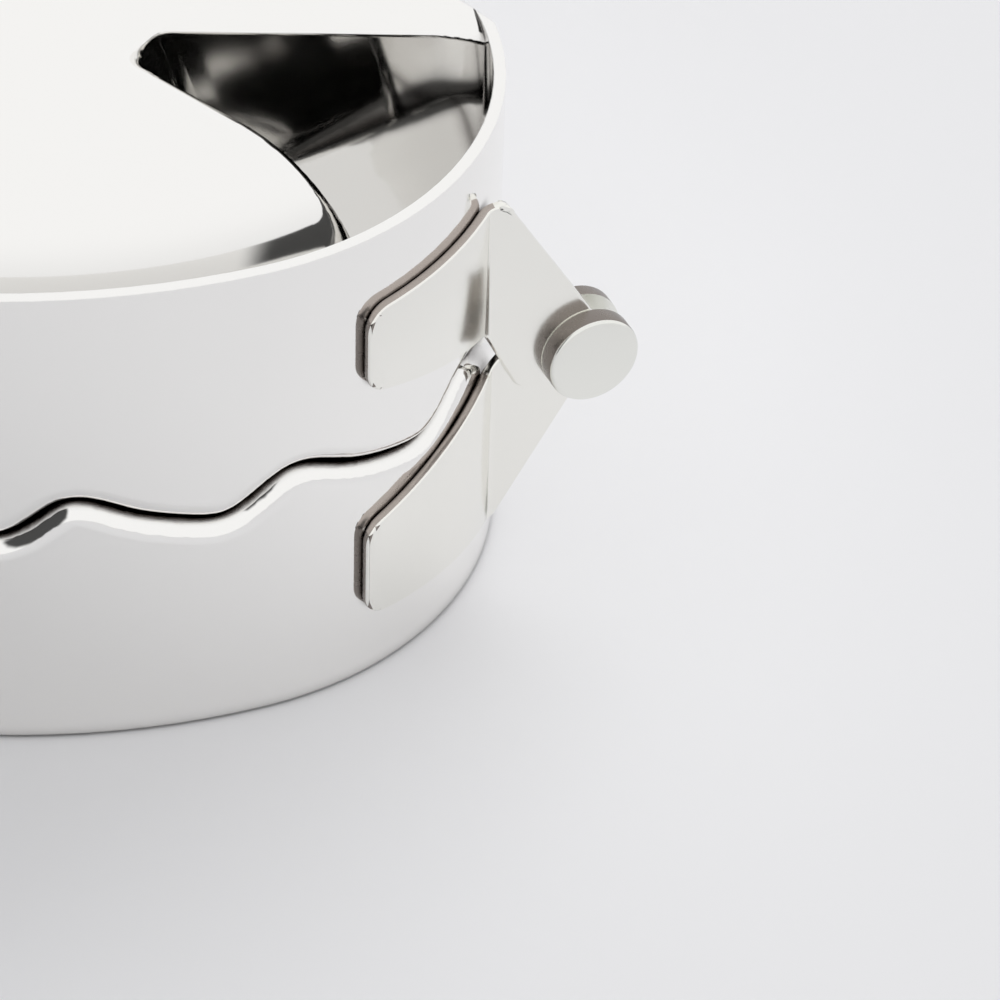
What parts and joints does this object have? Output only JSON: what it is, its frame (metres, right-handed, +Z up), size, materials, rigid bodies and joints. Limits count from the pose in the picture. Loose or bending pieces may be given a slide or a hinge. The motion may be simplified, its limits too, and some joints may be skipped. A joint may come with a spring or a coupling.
{
  "type": "dumpling maker",
  "caption": "Hinged dumpling press in polished steel sheet: two rounded half moulds with wavy crimping edges, riveted together at the flat side.",
  "frame": {"origin": "on the flat face that the closed press rests on, under the centre of the round side's arc", "axes": "+X towards the hinge, +Y along the hinge axis, +Z up, with the press closed"},
  "size_m": [0.0733, 0.0942, 0.0355],
  "materials": {
    "polished_sheet": "mirror polished",
    "bracket_sheet": "satin polished",
    "rivet": "satin"
  },
  "bodies": {
    "lower_half": {"lower_shell": "polished_sheet", "bracket_lower_front": "bracket_sheet", "bracket_lower_back": "bracket_sheet", "hinge_rivet_front": "rivet", "hinge_rivet_back": "rivet"},
    "upper_half": {"upper_shell": "polished_sheet", "bracket_upper_front": "bracket_sheet", "bracket_upper_back": "bracket_sheet"}
  },
  "joints": [
    {"name": "hinge", "type": "hinge", "parent": "lower_half", "child": "upper_half", "pos_m": [0.0231, 0, 0.01775], "axis": [0, 1, 0], "range_deg": [0, 180]}
  ]
}
